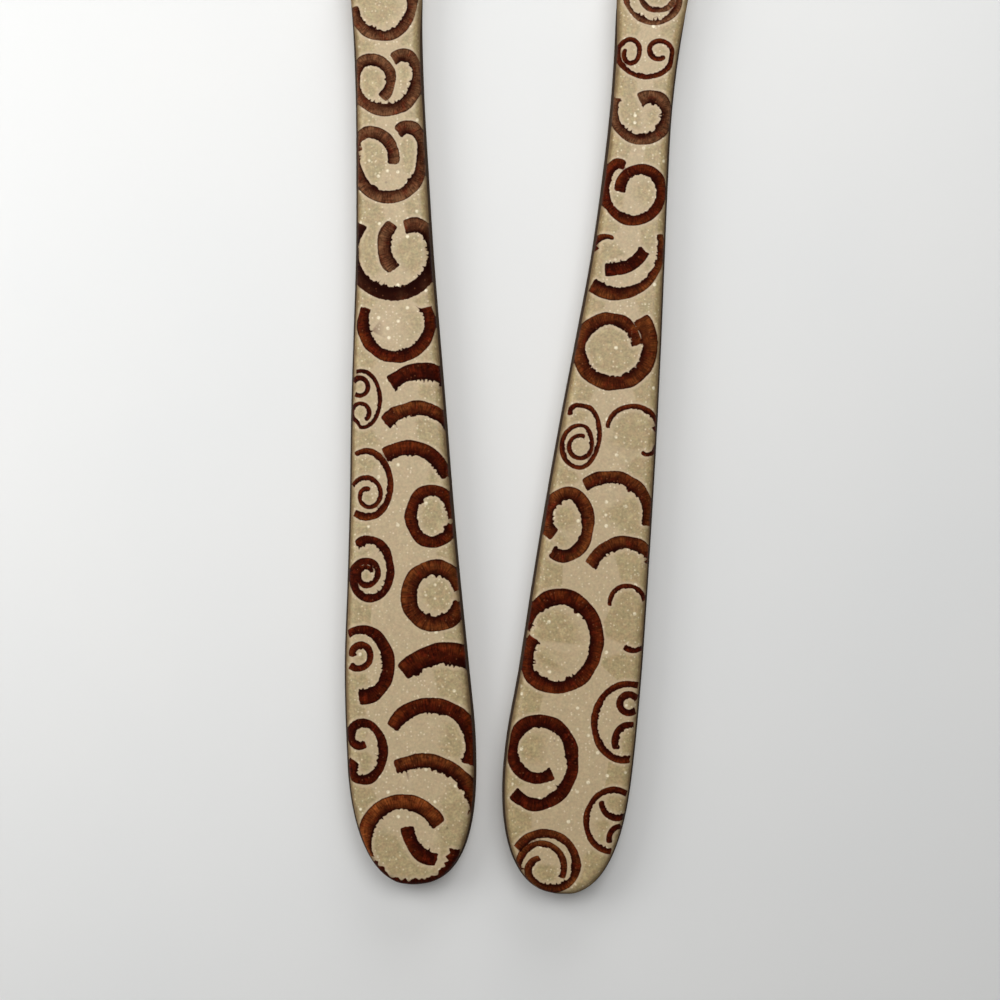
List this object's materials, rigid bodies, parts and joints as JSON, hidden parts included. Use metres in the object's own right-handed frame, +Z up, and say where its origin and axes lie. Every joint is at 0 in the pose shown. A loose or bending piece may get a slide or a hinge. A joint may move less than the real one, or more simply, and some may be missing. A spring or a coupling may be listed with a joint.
{
  "type": "salad servers",
  "caption": "Salad fork and spoon with flat steel tangs between cream resin handle scales inlaid with cinnamon bark slices.",
  "frame": {"origin": "on the table plane, at the middle of the fork handle's resting face, 30 mm from the fork's butt end", "axes": "+Z up from the table, +Y from the butt ends towards the heads, +X from the fork to the spoon"},
  "size_m": [0.1187, 0.2823, 0.013],
  "materials": {
    "steel": "polished head, oxidised dark at the tang's edge",
    "cream_resin": "cast cream resin with fine pale glitter, polished",
    "cinnamon_bark": "rolled cinnamon bark sealed in resin and polished, end grain upwards"
  },
  "bodies": {
    "fork_server": {"fork_back_scale": "cream_resin", "fork_bark_arc_01": "cinnamon_bark", "fork_bark_arc_05": "cinnamon_bark", "fork_bark_arc_06": "cinnamon_bark", "fork_bark_arc_07": "cinnamon_bark", "fork_bark_arc_15": "cinnamon_bark", "fork_bark_arc_16": "cinnamon_bark", "fork_bark_arc_17": "cinnamon_bark", "fork_bark_cup_20": "cinnamon_bark", "fork_bark_heart_23": "cinnamon_bark", "fork_bark_heart_24": "cinnamon_bark", "fork_bark_hook_03": "cinnamon_bark", "fork_bark_hook_08": "cinnamon_bark", "fork_bark_hook_22": "cinnamon_bark", "fork_bark_rim_02": "cinnamon_bark", "fork_bark_ring_10": "cinnamon_bark", "fork_bark_ring_12": "cinnamon_bark", "fork_bark_ring_21": "cinnamon_bark", "fork_bark_ring_25": "cinnamon_bark", "fork_bark_scroll_04": "cinnamon_bark", "fork_bark_scroll_09": "cinnamon_bark", "fork_bark_scroll_18": "cinnamon_bark", "fork_bark_scroll_19": "cinnamon_bark", "fork_bark_shell_13": "cinnamon_bark", "fork_bark_spiral_11": "cinnamon_bark", "fork_bark_spiral_14": "cinnamon_bark", "fork_front_scale": "cream_resin", "fork_steel_blank": "steel"},
    "spoon_server": {"spoon_back_scale": "cream_resin", "spoon_bark_arc_11": "cinnamon_bark", "spoon_bark_arc_12": "cinnamon_bark", "spoon_bark_arc_13": "cinnamon_bark", "spoon_bark_arc_15": "cinnamon_bark", "spoon_bark_bar_21": "cinnamon_bark", "spoon_bark_chip_22": "cinnamon_bark", "spoon_bark_hook_06": "cinnamon_bark", "spoon_bark_hook_08": "cinnamon_bark", "spoon_bark_hook_09": "cinnamon_bark", "spoon_bark_hook_14": "cinnamon_bark", "spoon_bark_hook_17": "cinnamon_bark", "spoon_bark_hook_24": "cinnamon_bark", "spoon_bark_ring_10": "cinnamon_bark", "spoon_bark_scroll_05": "cinnamon_bark", "spoon_bark_scroll_25": "cinnamon_bark", "spoon_bark_shell_02": "cinnamon_bark", "spoon_bark_shell_04": "cinnamon_bark", "spoon_bark_shell_07": "cinnamon_bark", "spoon_bark_shell_18": "cinnamon_bark", "spoon_bark_shell_20": "cinnamon_bark", "spoon_bark_spiral_01": "cinnamon_bark", "spoon_bark_spiral_03": "cinnamon_bark", "spoon_bark_spiral_16": "cinnamon_bark", "spoon_bark_spiral_19": "cinnamon_bark", "spoon_bark_spiral_23": "cinnamon_bark", "spoon_bark_spiral_26": "cinnamon_bark", "spoon_front_scale": "cream_resin", "spoon_steel_blank": "steel"}
  },
  "joints": [
    {"name": "spoon_lift", "type": "slide", "parent": "fork_server", "child": "spoon_server", "axis": [0, 0, 1], "range_m": [0, 0.12]}
  ]
}
